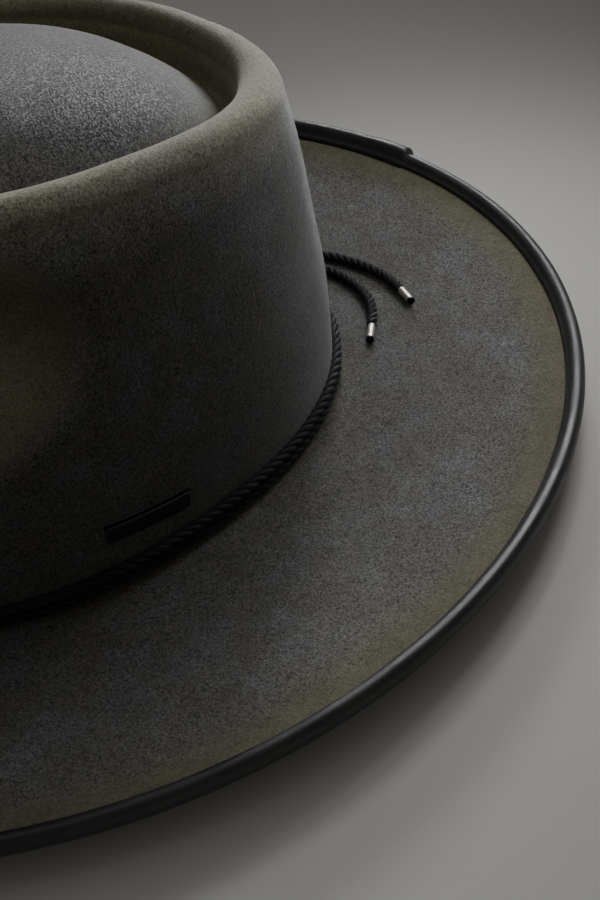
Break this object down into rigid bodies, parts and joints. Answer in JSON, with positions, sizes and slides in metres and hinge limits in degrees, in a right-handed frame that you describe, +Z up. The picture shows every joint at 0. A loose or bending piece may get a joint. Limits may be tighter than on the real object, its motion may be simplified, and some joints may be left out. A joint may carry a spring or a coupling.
{
  "type": "fur felt hat",
  "caption": "Wide-brimmed fur felt hat with a telescope crown, a leather-bound upturned edge and a doubled cord with metal-tipped tails.",
  "frame": {"origin": "on the floor plane under the middle of the hat, level with the flat underside of the brim", "axes": "-Y is the hat's front, +X is the wearer's left, +Z is up through the crown"},
  "size_m": [0.3464, 0.3724, 0.132],
  "materials": {
    "fur_felt": "brushed grey felt, rubbed to olive along the edges and the ridge",
    "binding_leather": "smooth, soft sheen",
    "black_cord": "twisted, soft sheen",
    "woven_tab": "fine satin weave, blank",
    "nickel": "worn bright nickel"
  },
  "bodies": {
    "root": {"felt_body": "fur_felt", "edge_binding": "binding_leather", "cord_wrap_lower": "black_cord", "cord_wrap_upper": "black_cord", "cord_keeper": "black_cord", "slot_tab": "woven_tab", "cord_tail_a": "black_cord", "ferrule_a": "nickel", "cord_tail_b": "black_cord", "ferrule_b": "nickel"}
  },
  "joints": []
}
